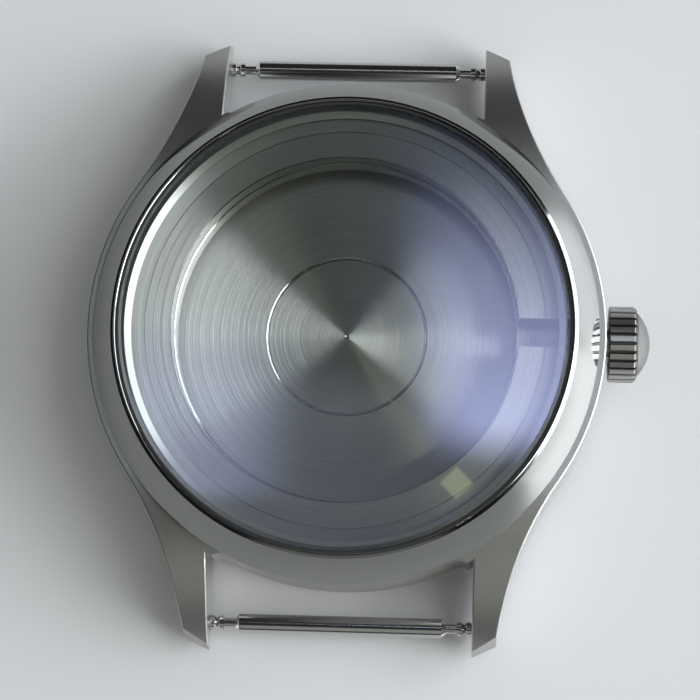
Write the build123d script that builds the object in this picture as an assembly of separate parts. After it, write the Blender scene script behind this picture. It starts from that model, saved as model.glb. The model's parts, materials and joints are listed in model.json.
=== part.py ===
from build123d import *
import math
import os

# Empty watch case with a screwed back, a screwed crown and two sprung strap bars.
# Millimetres. X runs from the centre to the crown at 3 o'clock, Y to 12 o'clock, Z out through the
# crystal. The origin is the centre of the flat outer face of the case back.

# Shared clearances and overrun
overrun = 1.0                  # how far a cutting tool passes the material
slide_clearance = 0.05         # radial, between a piece and the bore that it drops into
thread_clearance = 0.05        # radial, between the crest of a male thread and the bore round it
pin_clearance = 0.045          # radial, round the sprung pins of the strap bars
tip_clearance = 0.07           # radial, between a pin tip and its hole in the lug

# Form of the male threads, as shares of the pitch
thread_base_share = 0.75       # width of the ridge at its root
thread_crest_share = 0.125     # width of the flat crest
thread_sink_share = 0.06       # how deep the ridge sinks into its core

# Movement and its holder, from the movement outwards
movement_body_radius = 12.8    # round movement of 25.6 mm with a dial flange of 26 mm
movement_flange_rim = 0.2
movement_step_depth = 2.6      # from the ledge to the step in the bore that carries the flange
holder_ledge_width = 1.95      # flat ledge between the movement and the dial seat of the case
holder_shoulder_width = 0.95   # shoulder under the dial seat
holder_boss_gap = 0.35         # radial, from the holder's boss to the skirt of the back
holder_above_back = 0.85       # height of the boss over the inner face of the back
holder_edge_bevel = 0.08
stem_slot_width = 2.15
stem_slot_below_axis = 0.9

# Inside of the case
crown_axis_above_mouth = 1.8   # height of the crown's axis over the threaded mouth
dial_seat_above_axis = 3.1
dial_seat_thickness = 0.8      # of the inward flange that the dial stands on
dial_seat_width = 0.2          # of the recess round the dial, past the bore of the holder
dial_thickness = 0.4           # room for the dial under the rehaut ring
collar_wall = 1.2              # of the collar that the bezel is pressed over

# Rehaut ring
rehaut_height = 1.0
rehaut_over_dial = 0.18        # how far the ring covers the edge of the dial
rehaut_slope_run = 0.53
rehaut_rim = 0.2
rehaut_lip = 0.12

# Crystal and its gasket
crystal_seat_width = 0.25      # of the crystal's edge outside the rehaut's opening
crystal_thickness = 1.8
crystal_bevel = 0.25
crystal_proud = 0.25           # height of the crystal over the bezel
gasket_wall = 0.25
gasket_foot_height = 0.2
gasket_foot_width = 0.6
gasket_below_bezel = 0.12

# Bezel
bezel_wall = 1.1               # from the collar to the foot of the slope
bezel_lip_height = 0.26
bezel_foot_bevel = 0.1
bezel_crown_width = 0.16       # flat inner edge beside the crystal
bezel_crown_round = 0.2
bezel_bulge = 0.06             # how far the slope swells past a straight cone

# Middle of the case
band_shelf = 0.55              # how far the round wall stands out past the bezel
band_above_dial_seat = 0.1     # height of the shelf under the bezel over the dial seat
band_under_bevel = 0.5         # bevel below the wall and the lugs, towards the case back
band_edge_round = 0.14         # along the upper edges of the wall and the lugs
gap_edge_bevel = 0.12          # broken edge of the wall between the lugs
level_share = 0.5              # a face whose normal rises by more than this share of 1 counts as level

# Lugs
lug_gap = 20.0                 # strap width
lug_gap_fillet = 1.0
lug_flank_angle = 34.0         # degrees from X, where the flank leaves the round wall
lug_tip_width = 1.8            # from the inner face to the outer corner of the tip
lug_overhang = 6.35            # how far the turned ends of the lugs stand out past the round wall
lug_tip_rake = 0.45            # how far the upper corner of the tip lies behind the lower one
lug_fall_inset = 8.6           # from the round wall back to where the top starts to fall
lug_tip_height = 2.3
lug_tip_drop = 0.4             # drop of the underside from the wall to the tip

# Strap bars
bar_to_lug_end = 2.25          # from the bar's axis to the end of the lug's inner face
bar_above_tip = 1.45           # height of the bar's axis over the underside of the tip
bar_tube_radius = 0.75
bar_tube_bore = 0.58
bar_end_wall = 0.45
bar_end_chamfer = 0.3
pin_neck_radius = 0.375
pin_flange_radius = 0.56
pin_flange_width = 0.33
pin_flange_gap = 0.42
pin_lug_clearance = 0.06       # between the outer flange and the lug
pin_tip_radius = 0.4
pin_tip_length = 0.7
pin_tip_chamfer = 0.12
pin_travel = 0.75
pin_stop_gap = 0.11            # left between the inner flange and the tube with the pin pushed in
pin_piston_length = 0.7
lug_hole_spare = 0.2           # depth of the lug hole past the pin tip
bar_spring_wire = 0.16
bar_spring_turns = 20
bar_spring_seat = 0.02

# Case back
back_flange_thickness = 1.0
back_flange_width = 1.3        # from the thread to the rim
back_flange_bevel = 0.45
back_floor_step = 0.5          # height of the inner face over the seat of the flange
back_skirt_height = 2.0        # over the seat of the flange
back_skirt_wall = 1.0
back_thread_wall = 0.6         # from the bore of the holder to the crest of the thread
back_thread_depth = 0.22
back_thread_pitch = 0.5
back_thread_relief = 0.3       # plain neck between the flange and the thread
back_thread_end = 0.2          # plain end of the skirt above the thread
back_notch_count = 6
back_notch_width = 2.8
back_notch_length = 1.7
back_notch_depth = 0.55
back_pad_inset = 3.3           # from the rim to the flat middle that stands proud of it
back_pad_height = 0.12
back_ring_radius = 6.0
back_ring_width = 0.14
back_ring_depth = 0.07
back_centre_radius = 0.16
back_centre_depth = 0.1
case_mouth_spare = 0.2         # height of the case's mouth over the skirt of the back

# Gasket of the back
back_gasket_inset = 0.35       # from the thread to the gasket
back_gasket_width = 0.5
back_gasket_height = 0.4
back_gasket_side_room = 0.06

# Crown tube and its seals
tube_flat_depth = 0.1          # small flat on the round wall where the tube's shoulder rests
tube_flat_margin = 0.3         # of that flat round the tube's thread
tube_wall = 0.49
tube_bore = 0.76
tube_thread_radius = 1.6
tube_thread_depth = 0.13
tube_thread_pitch = 0.35
tube_thread_start = 0.12       # plain neck beside the case
tube_thread_spare = 0.03
tube_end_bevel = 0.1
seal_count = 2
seal_inset = 1.1               # from the tube's inner end to the first seal
seal_spacing = 1.1
seal_width = 0.5
seal_groove_depth = 0.27
seal_post_clearance = 0.04
seal_room = 0.03

# Crown
crown_stand_off = 0.2          # from the round wall to the crown
crown_flute_length = 2.1
crown_radius = 2.88
crown_flute_count = 26
crown_flute_depth = 0.2
crown_flute_share = 0.42       # share of the pitch between flutes that the groove takes
crown_flute_floor_share = 0.4  # width of the groove's floor as a share of its mouth
crown_edge_bevel = 0.2
crown_dome_radius = 2.5
crown_dome_height = 1.05
crown_dome_step = 0.08
crown_turns = 3.0              # turns that free the crown from the tube
crown_mouth_bevel = 0.12

# Pieces inside the crown
crown_gasket_thickness = 0.24
crown_gasket_width = 0.5
crown_gasket_side_room = 0.03
retainer_thickness = 0.16
retainer_width = 0.55
post_radius = 0.7
post_head_width = 0.32         # of the head's rim round the post
post_head_thickness = 0.28
post_inset = 1.0               # from the tube's inner end to the post's
post_tap_radius = 0.45
post_tap_depth = 3.0
post_travel = 0.6
post_end_bevel = 0.08
spring_chamber_room = 0.1      # radial, round the post's head
crown_spring_wire = 0.13
crown_spring_turns = 3
crown_spring_inset = 0.18      # from the rim of the post's head to the middle of the wire
crown_spring_seat = 0.01
crown_spring_spare = 0.03      # left in the chamber with the spring pressed shut

# Radii that follow, from the movement outwards
holder_movement_bore = movement_body_radius + movement_flange_rim + slide_clearance
holder_lower_bore = movement_body_radius + slide_clearance
holder_top_radius = holder_movement_bore + holder_ledge_width
dial_seat_bore = holder_top_radius + slide_clearance
holder_shoulder_radius = holder_top_radius + holder_shoulder_width
holder_bore = holder_shoulder_radius + slide_clearance
dial_recess_radius = holder_bore + dial_seat_width
rehaut_low_radius = dial_recess_radius - rehaut_over_dial
rehaut_high_radius = rehaut_low_radius + rehaut_slope_run
rehaut_seat_radius = rehaut_high_radius + rehaut_rim
crystal_radius = rehaut_high_radius + crystal_seat_width
bezel_bore = crystal_radius + gasket_wall
collar_radius = rehaut_seat_radius + collar_wall
gap_wall_radius = collar_radius + bezel_wall
band_radius = gap_wall_radius + band_shelf
back_thread_radius = holder_bore + back_thread_wall
back_flange_radius = back_thread_radius + back_flange_width
back_skirt_bore = back_thread_radius - back_skirt_wall
back_pad_radius = back_flange_radius - back_pad_inset
back_gasket_inner = back_thread_radius + back_gasket_inset
case_thread_bore = back_thread_radius + thread_clearance
holder_boss_radius = back_skirt_bore - holder_boss_gap

# Heights that follow
case_bottom = back_flange_thickness
back_floor = back_flange_thickness + back_floor_step
back_skirt_top = back_flange_thickness + back_skirt_height
case_thread_top = back_skirt_top + case_mouth_spare
holder_bottom = back_floor + holder_above_back
crown_axis_height = case_thread_top + crown_axis_above_mouth
dial_seat_height = crown_axis_height + dial_seat_above_axis
holder_shoulder_top = dial_seat_height - dial_seat_thickness
band_top = dial_seat_height + band_above_dial_seat
rehaut_seat_height = dial_seat_height + dial_thickness
collar_top = rehaut_seat_height + rehaut_height
crystal_bottom = collar_top + gasket_foot_height
crystal_top = crystal_bottom + crystal_thickness
bezel_top = crystal_top - crystal_proud

# Places of the lugs and the strap bars that follow
lug_inner = lug_gap / 2
lug_corner = lug_inner + lug_tip_width
lug_tip_radius_low = band_radius + lug_overhang
lug_tip_radius_high = lug_tip_radius_low - lug_tip_rake
lug_tip_under = case_bottom - lug_tip_drop
lug_tip_top = lug_tip_under + lug_tip_height
lug_fall = band_top - lug_tip_top
lug_top_start = band_radius - lug_fall_inset
bar_from_centre = math.sqrt(lug_tip_radius_low ** 2 - lug_inner ** 2) - bar_to_lug_end
bar_height = lug_tip_under + bar_above_tip
pin_outer_flange_end = lug_inner - pin_lug_clearance
pin_outer_flange_start = pin_outer_flange_end - pin_flange_width
pin_inner_flange_end = pin_outer_flange_start - pin_flange_gap
pin_inner_flange_start = pin_inner_flange_end - pin_flange_width
bar_half = pin_inner_flange_start - pin_travel - pin_stop_gap
pin_bore = pin_neck_radius + pin_clearance
piston_radius = bar_tube_bore - pin_clearance
bar_places = (("12", 1), ("6", -1))
pin_sides = (("left", -1), ("right", 1))

# Places along the crown's axis that follow
tube_inner_distance = holder_bore
tube_flat_distance = band_radius - tube_flat_depth
tube_flat_radius = tube_thread_radius + tube_flat_margin
tube_hole_radius = tube_bore + tube_wall
tube_thread_length = crown_turns * tube_thread_pitch + tube_thread_spare
tube_end_distance = tube_flat_distance + tube_thread_start + tube_thread_length + tube_end_bevel
seal_first_distance = tube_inner_distance + seal_inset
crown_inner_distance = band_radius + crown_stand_off
crown_outer_distance = crown_inner_distance + crown_flute_length
crown_cavity_radius = tube_thread_radius + thread_clearance
crown_cavity_end = tube_end_distance + crown_gasket_thickness
crown_gasket_outer = crown_cavity_radius - crown_gasket_side_room
crown_gasket_bore = crown_gasket_outer - crown_gasket_width
retainer_bore = post_radius + thread_clearance
retainer_radius = retainer_bore + retainer_width
retainer_end = crown_cavity_end + retainer_thickness
post_inner_distance = tube_inner_distance + post_inset
post_head_radius = post_radius + post_head_width
post_head_end = retainer_end + post_head_thickness
spring_chamber_radius = post_head_radius + spring_chamber_room
crown_spring_radius = post_head_radius - crown_spring_inset
crown_spring_shut = crown_spring_turns * crown_spring_wire + crown_spring_spare
spring_chamber_end = post_head_end + post_travel + crown_spring_shut


def turned(points):
    """Solid of revolution round Z from a closed outline of (radius, height) points."""
    outline = Polyline(*[(r, 0, z) for r, z in points], close=True)
    return revolve(make_face(outline), Axis.Z)


def turned_on_x(points, height=crown_axis_height):
    """Solid of revolution round the crown's axis from (distance along X, radius) points."""
    outline = Polyline(*[(x, 0, height + r) for x, r in points], close=True)
    return revolve(make_face(outline), Axis((0, 0, height), (1, 0, 0)))


def rod(x_start, x_end, radius, y=0, height=crown_axis_height):
    """Cylinder along X between two distances."""
    start_plane = Plane(origin=(x_start, y, height), x_dir=(0, 1, 0), z_dir=(1, 0, 0))
    return extrude(start_plane * Circle(radius), amount=x_end - x_start)


def slab(x_low, x_high, y_low, y_high, z_low, z_high):
    """Block between six planes."""
    block = Box(x_high - x_low, y_high - y_low, z_high - z_low, align=Align.MIN)
    return Pos(x_low, y_low, z_low) * block


def coil(start, direction, length, radius, turns, wire):
    """One unbroken helical spring of round wire along a direction."""
    pitch = length / turns
    path = Plane(origin=start, z_dir=direction) * Helix(pitch=pitch, height=length, radius=radius)
    section = Plane(origin=path @ 0, z_dir=path % 0) * Circle(wire / 2)
    print(f"spring of {turns} turns, {pitch - wire:.3f} mm between them")
    return sweep(section, path=path, is_frenet=True)


def lug_plan():
    """Plan of the lug at the upper right: round tip, straight inner face, flank tangent to the wall."""
    angle = math.radians(lug_flank_angle)
    tip = lug_tip_radius_low + overrun
    root = (band_radius * math.cos(angle), band_radius * math.sin(angle))
    corner = (lug_corner, math.sqrt(lug_tip_radius_low ** 2 - lug_corner ** 2))
    flank = TangentArc(root, corner, tangent=(-math.sin(angle), math.cos(angle)))
    end_direction = flank % 1
    beyond = (corner[0] + end_direction.X * overrun, corner[1] + end_direction.Y * overrun)
    rest = Polyline(corner, beyond, (beyond[0], tip), (lug_inner, tip), (lug_inner, root[1]), root)
    return make_face(flank + rest)


def case_outline():
    """Plan of the whole middle: the round band and its four lugs."""
    plan = Circle(band_radius)
    lug = lug_plan()
    for mirror_x in (False, True):
        for mirror_y in (False, True):
            piece = lug
            if mirror_x:
                piece = mirror(piece, about=Plane.YZ)
            if mirror_y:
                piece = mirror(piece, about=Plane.XZ)
            plan += piece
    return plan


def side_profile():
    """Side view of the middle, in Y and Z: a level band whose ends curve down into the lugs."""
    tip_y = lug_tip_radius_low + overrun
    fall_run = math.sqrt(lug_tip_radius_high ** 2 - lug_inner ** 2) - lug_top_start
    arc_radius = (fall_run ** 2 + lug_fall ** 2) / (2 * lug_fall)
    end_angle = math.degrees(math.asin(fall_run / arc_radius))
    lines = []
    for side in (1, -1):
        top = CenterArc((side * lug_top_start, band_top - arc_radius), arc_radius, 90, -side * end_angle)
        under_start = (side * gap_wall_radius, case_bottom)
        under_end = (side * tip_y, lug_tip_under)
        lines += [
            top,
            Line(top @ 1, (side * tip_y, lug_tip_top)),
            Line((side * tip_y, lug_tip_top), under_end),
            TangentArc(under_start, under_end, tangent=(side, 0)),
            Line(under_start, (0, case_bottom)),
            Line((0, band_top), (side * lug_top_start, band_top)),
        ]
    face = make_face(lines)
    placed = Plane(origin=(-tip_y, 0, 0), x_dir=(0, 1, 0), z_dir=(1, 0, 0)) * face
    return extrude(placed, amount=2 * tip_y)


def tip_envelope():
    """Cone that turns the ends of the lugs round, a little wider at the underside."""
    slope = lug_tip_rake / (lug_tip_top - lug_tip_under)
    low_z = -overrun
    high_z = band_top + overrun
    low_radius = lug_tip_radius_low + slope * (lug_tip_under - low_z)
    high_radius = lug_tip_radius_low - slope * (high_z - lug_tip_under)
    return turned([(0, low_z), (low_radius, low_z), (high_radius, high_z), (0, high_z)])


def strap_gap():
    """Plan of the opening between two lugs, with rounded inner corners, on the 12 o'clock side."""
    far = lug_tip_radius_low + 2 * overrun
    mouth = Pos(0, far / 2) * Rectangle(lug_gap, far) - Circle(gap_wall_radius)
    mouth_corners = mouth.vertices().sort_by(Axis.Y)[:2]
    return fillet(mouth_corners, lug_gap_fillet)


def crown_hole():
    """Bore for the crown tube and the small flat for its shoulder."""
    hole = rod(dial_seat_bore, band_radius + overrun, tube_hole_radius)
    flat = rod(tube_flat_distance, band_radius + overrun, tube_flat_radius)
    return hole + flat


def bar_hole(x_side, y_side):
    """Blind hole in one lug for the tip of a strap bar."""
    radius = pin_tip_radius + tip_clearance
    depth = pin_tip_length + lug_hole_spare
    start = x_side * (lug_inner - overrun)
    end = x_side * (lug_inner + depth)
    low, high = min(start, end), max(start, end)
    return rod(low, high, radius, y_side * bar_from_centre, bar_height)


def stem_slot(inner, outer):
    """Open slot for the winding stem, from the dial seat to just below the crown's axis."""
    low = crown_axis_height - stem_slot_below_axis
    half = stem_slot_width / 2
    return slab(inner, outer, -half, half, low, band_top + overrun)


def rim_edges(body, upward):
    """Edges round the upper or the lower side of the body, without those that cross it."""
    edges = ShapeList()
    for face in body.faces():
        slope = face.normal_at().Z
        faces_that_way = slope > level_share if upward else slope < -level_share
        if faces_that_way:
            edges += face.edges()
    return edges - edges.filter_by(GeomType.LINE).filter_by(Axis.X)


def case_body():
    """Round band with four lugs, as one block with rounded upper and bevelled lower edges."""
    tall = band_top + 2 * overrun
    body = Pos(0, 0, -overrun) * extrude(case_outline(), amount=tall)
    body = body & side_profile()
    body = body & tip_envelope()
    gap = Pos(0, 0, -overrun) * extrude(strap_gap(), amount=tall)
    body = body - gap - mirror(gap, about=Plane.XZ)
    body = fillet(rim_edges(body, True), band_edge_round)
    outer = [edge for edge in rim_edges(body, False) if abs((edge @ 0.5).X) > lug_inner + band_edge_round]
    return chamfer(outer, band_under_bevel)


def make_mid_case():
    """Middle of the case: band, four lugs, bezel collar, dial seat and threaded mouth."""
    core = turned([
        (0, case_bottom),
        (gap_wall_radius, case_bottom),
        (gap_wall_radius, band_top - gap_edge_bevel),
        (gap_wall_radius - gap_edge_bevel, band_top),
        (collar_radius, band_top),
        (collar_radius, collar_top),
        (0, collar_top),
    ])
    body = case_body() + core
    bore = turned([
        (0, case_bottom - overrun),
        (case_thread_bore, case_bottom - overrun),
        (case_thread_bore, case_thread_top),
        (holder_bore, case_thread_top),
        (holder_bore, holder_shoulder_top),
        (dial_seat_bore, holder_shoulder_top),
        (dial_seat_bore, dial_seat_height),
        (dial_recess_radius, dial_seat_height),
        (dial_recess_radius, rehaut_seat_height),
        (rehaut_seat_radius, rehaut_seat_height),
        (rehaut_seat_radius, collar_top + overrun),
        (0, collar_top + overrun),
    ])
    body = body - bore - crown_hole()
    body = body - stem_slot(dial_seat_bore - overrun, dial_recess_radius)
    for x_side in (-1, 1):
        for y_side in (-1, 1):
            body = body - bar_hole(x_side, y_side)
    return body


def make_bezel():
    """Polished ring with a steep, slightly swollen slope, pressed over the collar."""
    lip_top = band_top + bezel_foot_bevel + bezel_lip_height
    slope_low = (gap_wall_radius, lip_top)
    slope_high = (bezel_bore + bezel_crown_width + bezel_crown_round, bezel_top - bezel_crown_round / 2)
    run = slope_high[0] - slope_low[0]
    rise = slope_high[1] - slope_low[1]
    length = math.hypot(run, rise)
    middle = (
        (slope_low[0] + slope_high[0]) / 2 + bezel_bulge * rise / length,
        (slope_low[1] + slope_high[1]) / 2 - bezel_bulge * run / length,
    )
    crown_edge = (bezel_bore + bezel_crown_width, bezel_top)
    lines = [
        Line((collar_radius, band_top), (gap_wall_radius - bezel_foot_bevel, band_top)),
        Line((gap_wall_radius - bezel_foot_bevel, band_top), (gap_wall_radius, band_top + bezel_foot_bevel)),
        Line((gap_wall_radius, band_top + bezel_foot_bevel), slope_low),
        ThreePointArc(slope_low, middle, slope_high),
        Line(slope_high, crown_edge),
        Line(crown_edge, (bezel_bore, bezel_top)),
        Line((bezel_bore, bezel_top), (bezel_bore, collar_top)),
        Line((bezel_bore, collar_top), (collar_radius, collar_top)),
        Line((collar_radius, collar_top), (collar_radius, band_top)),
    ]
    return revolve(Plane.XZ * make_face(lines), Axis.Z)


def make_crystal():
    """Flat round crystal with a bevelled upper edge."""
    return turned([
        (0, crystal_bottom),
        (crystal_radius, crystal_bottom),
        (crystal_radius, crystal_top - crystal_bevel),
        (crystal_radius - crystal_bevel, crystal_top),
        (0, crystal_top),
    ])


def make_crystal_gasket():
    """L-shaped ring that grips the crystal in the bezel and seals it on the collar."""
    return turned([
        (crystal_radius, crystal_bottom),
        (crystal_radius, bezel_top - gasket_below_bezel),
        (bezel_bore, bezel_top - gasket_below_bezel),
        (bezel_bore, collar_top),
        (bezel_bore - gasket_foot_width, collar_top),
        (bezel_bore - gasket_foot_width, crystal_bottom),
    ])


def make_rehaut_ring():
    """Sloped inner ring between the dial seat and the crystal."""
    return turned([
        (rehaut_low_radius, rehaut_seat_height),
        (rehaut_seat_radius - slide_clearance, rehaut_seat_height),
        (rehaut_seat_radius - slide_clearance, collar_top),
        (rehaut_high_radius, collar_top),
        (rehaut_low_radius, rehaut_seat_height + rehaut_lip),
    ])


def make_movement_holder():
    """Ring that carries the movement, with a stepped bore and an open slot for the stem."""
    step_height = dial_seat_height - movement_step_depth
    ring = turned([
        (holder_lower_bore, holder_bottom),
        (holder_boss_radius, holder_bottom),
        (holder_boss_radius, back_skirt_top),
        (holder_shoulder_radius, back_skirt_top),
        (holder_shoulder_radius, holder_shoulder_top),
        (holder_top_radius, holder_shoulder_top),
        (holder_top_radius, dial_seat_height),
        (holder_movement_bore + holder_edge_bevel, dial_seat_height),
        (holder_movement_bore, dial_seat_height - holder_edge_bevel),
        (holder_movement_bore, step_height),
        (holder_lower_bore, step_height),
    ])
    return ring - stem_slot(holder_lower_bore - overrun, holder_bore + overrun)


def thread_ridge(radius, depth, pitch, start, turns):
    """Helical ridge of a male thread along Z, standing on a core that it sinks into."""
    half_base = pitch * thread_base_share / 2
    half_crest = pitch * thread_crest_share / 2
    root = radius - depth - pitch * thread_sink_share
    rise = radius - root
    section = Polyline((0, -half_base), (rise, -half_crest), (rise, half_crest), (0, half_base), close=True)
    section_plane = Plane(origin=(root, 0, start), x_dir=(1, 0, 0), z_dir=(0, -1, 0))
    path = Pos(0, 0, start) * Helix(pitch=pitch, height=pitch * turns, radius=root)
    return sweep(section_plane * make_face(section), path=path, is_frenet=True)


def make_case_back():
    """Screwed back: notched flange, threaded skirt and a turned inner face."""
    core_radius = back_thread_radius - back_thread_depth
    floor_low = back_floor - back_ring_depth
    ring_inner = back_ring_radius - back_ring_width / 2
    ring_outer = back_ring_radius + back_ring_width / 2
    groove_inner = back_gasket_inner - back_gasket_side_room
    groove_outer = back_gasket_inner + back_gasket_width + back_gasket_side_room
    groove_floor = back_flange_thickness - back_gasket_height
    body = turned([
        (0, 0),
        (back_pad_radius - back_pad_height, 0),
        (back_pad_radius, back_pad_height),
        (back_flange_radius - back_flange_bevel, back_pad_height),
        (back_flange_radius, back_pad_height + back_flange_bevel),
        (back_flange_radius, back_flange_thickness),
        (groove_outer, back_flange_thickness),
        (groove_outer, groove_floor),
        (groove_inner, groove_floor),
        (groove_inner, back_flange_thickness),
        (core_radius, back_flange_thickness),
        (core_radius, back_skirt_top),
        (back_skirt_bore, back_skirt_top),
        (back_skirt_bore, back_floor),
        (ring_outer, back_floor),
        (ring_outer, floor_low),
        (ring_inner, floor_low),
        (ring_inner, back_floor),
        (back_centre_radius, back_floor),
        (0, back_floor - back_centre_depth),
    ])
    thread_start = back_flange_thickness + back_thread_relief + back_thread_pitch / 2
    thread_end = back_skirt_top - back_thread_end - back_thread_pitch / 2
    turns = (thread_end - thread_start) / back_thread_pitch
    ridge = thread_ridge(back_thread_radius, back_thread_depth, back_thread_pitch, thread_start, turns)
    body = body + ridge
    notch_inner = back_flange_radius - back_notch_length
    half = back_notch_width / 2
    notch = slab(notch_inner, back_flange_radius + overrun, -half, half, -overrun, back_notch_depth)
    for index in range(back_notch_count):
        body = body - Rot(0, 0, 360 * (index + 0.5) / back_notch_count) * notch
    return body


def make_case_back_gasket():
    """Seal in the groove of the flange, pressed by the underside of the case."""
    inner = back_gasket_inner
    outer = back_gasket_inner + back_gasket_width
    low = back_flange_thickness - back_gasket_height
    return turned([(inner, low), (outer, low), (outer, back_flange_thickness), (inner, back_flange_thickness)])


def seal_places():
    """Distances along X where the seals in the crown tube start."""
    return [seal_first_distance + index * seal_spacing for index in range(seal_count)]


def make_crown_tube():
    """Tube pressed into the wall, threaded outside the case, with grooves for two seals."""
    core_radius = tube_thread_radius - tube_thread_depth
    tube = turned_on_x([
        (tube_inner_distance, tube_bore),
        (tube_inner_distance, tube_hole_radius),
        (tube_flat_distance, tube_hole_radius),
        (tube_flat_distance, core_radius),
        (tube_end_distance - tube_end_bevel, core_radius),
        (tube_end_distance, core_radius - tube_end_bevel),
        (tube_end_distance, tube_bore),
    ])
    for place in seal_places():
        groove_radius = tube_bore + seal_groove_depth
        groove = rod(place - seal_room, place + seal_width + seal_room, groove_radius)
        tube = tube - groove
    thread_start = tube_flat_distance + tube_thread_start + tube_thread_pitch / 2
    thread_end = tube_end_distance - tube_end_bevel - tube_thread_pitch / 2
    turns = (thread_end - thread_start) / tube_thread_pitch
    ridge = thread_ridge(tube_thread_radius, tube_thread_depth, tube_thread_pitch, thread_start, turns)
    ridge = Pos(0, 0, crown_axis_height) * (Rot(0, 90, 0) * ridge)
    return tube + ridge


def make_tube_seals():
    """Two soft rings in the bore of the crown tube, round the crown's post."""
    inner = post_radius + seal_post_clearance
    outer = tube_bore + seal_groove_depth
    rings = [rod(place, place + seal_width, outer) - rod(place - overrun, place + seal_width + overrun, inner)
             for place in seal_places()]
    return Compound(children=rings)


def crown_grip():
    """Fluted body of the crown: wide ridges between narrow grooves."""
    grip = turned_on_x([
        (crown_inner_distance, 0),
        (crown_inner_distance, crown_radius - crown_edge_bevel),
        (crown_inner_distance + crown_edge_bevel / 2, crown_radius),
        (crown_outer_distance - crown_edge_bevel, crown_radius),
        (crown_outer_distance, crown_radius - crown_edge_bevel),
        (crown_outer_distance, 0),
    ])
    pitch_angle = 2 * math.pi / crown_flute_count
    half_mouth = crown_radius * pitch_angle * crown_flute_share / 2
    half_floor = half_mouth * crown_flute_floor_share
    floor_radius = crown_radius - crown_flute_depth
    beyond_radius = crown_radius + crown_flute_depth
    half_beyond = 2 * half_mouth - half_floor
    groove_section = Polyline(
        (floor_radius, -half_floor),
        (beyond_radius, -half_beyond),
        (beyond_radius, half_beyond),
        (floor_radius, half_floor),
        close=True,
    )
    start = Plane(origin=(crown_inner_distance - overrun, 0, crown_axis_height), x_dir=(0, 1, 0), z_dir=(1, 0, 0))
    groove = extrude(start * make_face(groove_section), amount=crown_flute_length + 2 * overrun)
    axis = Axis((0, 0, crown_axis_height), (1, 0, 0))
    cutters = [groove.rotate(axis, 360 * index / crown_flute_count) for index in range(crown_flute_count)]
    return grip - cutters


def crown_dome():
    """Smooth swelling cap at the crown's outer end."""
    height = crown_dome_height
    sphere_radius = (crown_dome_radius ** 2 + height ** 2) / (2 * height)
    step_start = crown_outer_distance - crown_edge_bevel
    base = crown_outer_distance + crown_dome_step
    apex = base + height - crown_dome_step
    centre = apex - sphere_radius
    half_angle = math.acos((base - centre) / sphere_radius)
    mid = half_angle / 2
    edge_radius = sphere_radius * math.sin(half_angle)
    lines = [
        Line((step_start, 0), (step_start, edge_radius)),
        Line((step_start, edge_radius), (base, edge_radius)),
        ThreePointArc(
            (base, edge_radius),
            (centre + sphere_radius * math.cos(mid), sphere_radius * math.sin(mid)),
            (apex, 0),
        ),
        Line((apex, 0), (step_start, 0)),
    ]
    face = Pos(0, 0, crown_axis_height) * (Plane.XZ * make_face(lines))
    return revolve(face, Axis((0, 0, crown_axis_height), (1, 0, 0)))


def make_crown_head():
    """Crown with its grip, dome, threaded mouth and the chamber for its spring."""
    head = crown_grip() + crown_dome()
    cavity = turned_on_x([
        (crown_inner_distance - overrun, 0),
        (crown_inner_distance - overrun, crown_cavity_radius + crown_mouth_bevel),
        (crown_inner_distance, crown_cavity_radius + crown_mouth_bevel),
        (crown_inner_distance + crown_mouth_bevel, crown_cavity_radius),
        (crown_cavity_end, crown_cavity_radius),
        (crown_cavity_end, retainer_radius),
        (retainer_end, retainer_radius),
        (retainer_end, spring_chamber_radius),
        (spring_chamber_end, spring_chamber_radius),
        (spring_chamber_end, 0),
    ])
    return head - cavity


def make_crown_gasket():
    """Soft washer that the end of the tube presses when the crown is screwed down."""
    return turned_on_x([
        (tube_end_distance, crown_gasket_bore),
        (tube_end_distance, crown_gasket_outer),
        (crown_cavity_end, crown_gasket_outer),
        (crown_cavity_end, crown_gasket_bore),
    ])


def make_crown_retainer():
    """Washer pressed into the crown that keeps the post's head inside."""
    return turned_on_x([
        (crown_cavity_end, retainer_bore),
        (crown_cavity_end, retainer_radius),
        (retainer_end, retainer_radius),
        (retainer_end, retainer_bore),
    ])


def make_crown_post():
    """Sliding post with a head in the crown and a tapped end for the winding stem."""
    post = turned_on_x([
        (post_inner_distance, 0),
        (post_inner_distance, post_radius - post_end_bevel),
        (post_inner_distance + post_end_bevel, post_radius),
        (retainer_end, post_radius),
        (retainer_end, post_head_radius),
        (post_head_end, post_head_radius),
        (post_head_end, 0),
    ])
    return post - rod(post_inner_distance - overrun, post_inner_distance + post_tap_depth, post_tap_radius)


def make_crown_spring():
    """Spring between the post's head and the roof of the crown."""
    seat = crown_spring_wire / 2 + crown_spring_seat
    start = post_head_end + seat
    length = spring_chamber_end - seat - start
    return coil((start, 0, crown_axis_height), (1, 0, 0), length, crown_spring_radius,
                crown_spring_turns, crown_spring_wire)


def make_bar_tube(y):
    """Tube of a strap bar, closed in at both ends round the necks of its pins."""
    outline = []
    for side in (-1, 1):
        end = side * bar_half
        points = [
            (end, pin_bore),
            (end, bar_tube_radius - bar_end_chamfer),
            (end - side * bar_end_chamfer, bar_tube_radius),
        ]
        outline += points if side < 0 else points[::-1]
    inner = [(bar_half - bar_end_wall, pin_bore), (bar_half - bar_end_wall, bar_tube_bore),
             (-bar_half + bar_end_wall, bar_tube_bore), (-bar_half + bar_end_wall, pin_bore)]
    return Pos(0, y, bar_height) * turned_on_x(outline + inner, 0)


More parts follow.
